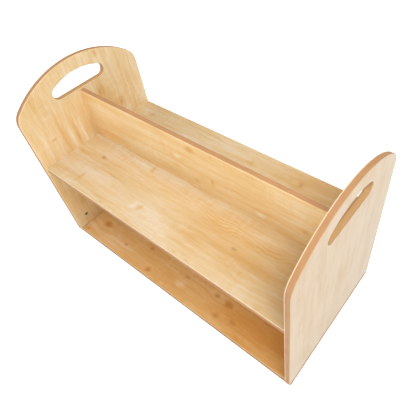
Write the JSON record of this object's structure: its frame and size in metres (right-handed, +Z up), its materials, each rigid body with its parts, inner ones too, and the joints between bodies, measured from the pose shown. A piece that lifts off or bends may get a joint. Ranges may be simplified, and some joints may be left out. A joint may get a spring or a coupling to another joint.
{
  "type": "picture book browser bin",
  "caption": "Low double-sided book browser: arched end panels with hand slots, a shelf with a centre divider making two book troughs, and an open compartment over a full-length base.",
  "frame": {"origin": "on the floor, under the middle of the bin", "axes": "+X along the length, towards the right end panel; -Y is the front; +Z up"},
  "size_m": [0.83, 0.393, 0.531],
  "materials": {
    "maple_board": "maple faced board, satin lacquer, with exposed rounded brown edges",
    "dowel": "plain turned hardwood",
    "zinc_steel": "zinc plated",
    "zinc_casting": "die cast zinc, matt"
  },
  "bodies": {
    "root": {"base_board": "maple_board", "shelf_board": "maple_board", "divider_board": "maple_board", "end_panel_left": "maple_board", "end_panel_right": "maple_board", "barrel_nut_left_front": "zinc_steel", "barrel_nut_left_rear": "zinc_steel", "barrel_nut_right_front": "zinc_steel", "barrel_nut_right_rear": "zinc_steel", "base_bolt_left_front": "zinc_steel", "base_bolt_left_rear": "zinc_steel", "base_bolt_right_front": "zinc_steel", "base_bolt_right_rear": "zinc_steel", "base_dowel_left_front": "dowel", "base_dowel_left_rear": "dowel", "base_dowel_right_front": "dowel", "base_dowel_right_rear": "dowel", "shelf_cam_left_front": "zinc_casting", "shelf_cam_left_rear": "zinc_casting", "shelf_cam_right_front": "zinc_casting", "shelf_cam_right_rear": "zinc_casting", "cam_bolt_left_front": "zinc_steel", "cam_bolt_left_rear": "zinc_steel", "cam_bolt_right_front": "zinc_steel", "cam_bolt_right_rear": "zinc_steel", "shelf_dowel_left_front": "dowel", "shelf_dowel_left_rear": "dowel", "shelf_dowel_right_front": "dowel", "shelf_dowel_right_rear": "dowel", "divider_dowel_left_lower": "dowel", "divider_dowel_left_upper": "dowel", "divider_dowel_right_lower": "dowel", "divider_dowel_right_upper": "dowel", "divider_screw_1": "zinc_steel", "divider_screw_2": "zinc_steel", "divider_screw_3": "zinc_steel", "divider_screw_4": "zinc_steel"}
  },
  "joints": []
}
